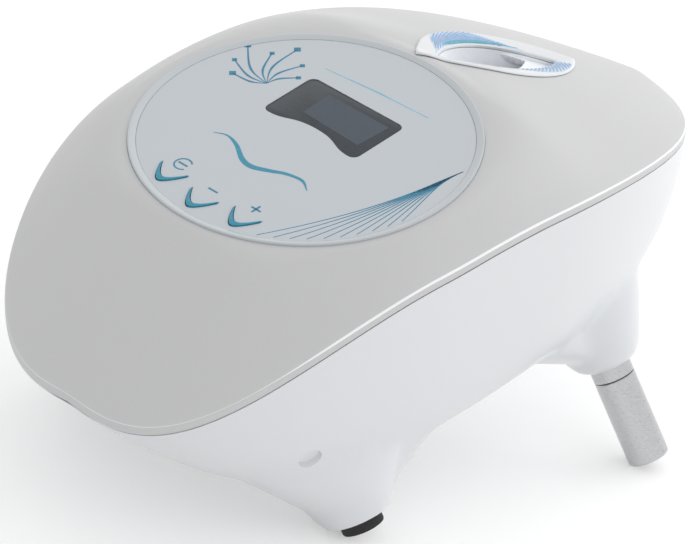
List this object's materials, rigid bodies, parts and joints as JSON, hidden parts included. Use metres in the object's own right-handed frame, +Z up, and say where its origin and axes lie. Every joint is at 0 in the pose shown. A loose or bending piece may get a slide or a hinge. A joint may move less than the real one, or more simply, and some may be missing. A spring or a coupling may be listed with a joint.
{
  "type": "mesotherapy device",
  "caption": "Table-top microneedle therapy control unit: egg-shaped case on splayed legs, round key and display panel, handpiece cradle.",
  "frame": {"origin": "centre of the bounding box in plan, at the table top under the feet", "axes": "+Z up, -Y towards the operator, +X to the operator's right; the case leans down 15 degrees towards the operator"},
  "size_m": [0.1968, 0.3028, 0.1439],
  "materials": {
    "pearl": "pearl satin",
    "clear_rim": "clear gloss",
    "overlay_grey": "satin printed film",
    "slate": "tinted window",
    "black": "satin",
    "laminate": "solder mask",
    "zinc": "zinc plated",
    "blue": "satin",
    "white": "gloss",
    "rubber": "matt",
    "brass": "turned",
    "brushed": "brushed",
    "anodised": "black anodised",
    "cream": "matt"
  },
  "bodies": {
    "housing": {"top_cover": "pearl", "panel_rim": "clear_rim", "panel_overlay": "overlay_grey", "display_window": "slate", "display_module": "black", "panel_board": "laminate", "panel_board_screw_left": "zinc", "panel_board_screw_right": "zinc", "key_switch_left": "black", "key_switch_middle": "black", "key_switch_right": "black", "cradle_bezel": "white", "cradle_cup": "white", "cradle_pad": "rubber", "lower_shell": "white", "front_foot_pad_left": "rubber", "foot_screw_left": "zinc", "front_foot_pad_right": "rubber", "foot_screw_right": "zinc", "rear_leg_insert_left": "brass", "rear_leg_stud_left": "zinc", "rear_leg_collar_left": "brushed", "rear_leg_insert_right": "brass", "rear_leg_stud_right": "zinc", "rear_leg_collar_right": "brushed", "main_board": "laminate", "board_screw_left": "zinc", "board_screw_right": "zinc", "heat_sink": "anodised", "input_capacitor": "black", "output_capacitor": "black", "control_chip": "black", "beeper": "black", "panel_connector": "cream", "board_connector": "cream", "panel_ribbon": "cream", "rear_plate": "white", "plate_screw_left": "zinc", "plate_screw_right": "zinc", "power_inlet": "black", "power_switch_frame": "black", "power_lead": "black", "handpiece_jack": "black", "jack_nut": "zinc", "jack_lead": "black", "case_screw_side_left": "zinc", "case_screw_rear_left": "zinc", "case_screw_side_right": "zinc", "case_screw_rear_right": "zinc", "case_screw_front": "zinc"},
    "key_left": {"key_left": "blue"},
    "key_middle": {"key_middle": "blue"},
    "key_right": {"key_right": "blue"},
    "power_rocker": {"power_switch_rocker": "black"},
    "rear_leg_left": {"rear_leg_tube_left": "brushed", "rear_leg_plug_left": "rubber"},
    "rear_leg_right": {"rear_leg_tube_right": "brushed", "rear_leg_plug_right": "rubber"}
  },
  "joints": [
    {"name": "key_left_press", "type": "slide", "parent": "housing", "child": "key_left", "axis": [0, 0.2634, -0.9647], "range_m": [0, 0.0005], "stiffness_N_per_m": 200},
    {"name": "key_middle_press", "type": "slide", "parent": "housing", "child": "key_middle", "axis": [0, 0.2634, -0.9647], "range_m": [0, 0.0005], "stiffness_N_per_m": 200},
    {"name": "key_right_press", "type": "slide", "parent": "housing", "child": "key_right", "axis": [0, 0.2634, -0.9647], "range_m": [0, 0.0005], "stiffness_N_per_m": 200},
    {"name": "power_rocker_pivot", "type": "hinge", "parent": "housing", "child": "power_rocker", "pos_m": [0.008, 0.13725, 0.0964], "axis": [1, 0, 0], "range_deg": [0, 18]},
    {"name": "rear_leg_left_adjust", "type": "slide", "parent": "housing", "child": "rear_leg_left", "axis": [-0.5446, 0.2209, -0.8091], "range_m": [0, 0.006]},
    {"name": "rear_leg_right_adjust", "type": "slide", "parent": "housing", "child": "rear_leg_right", "axis": [0.5446, 0.2209, -0.8091], "range_m": [0, 0.006]}
  ]
}
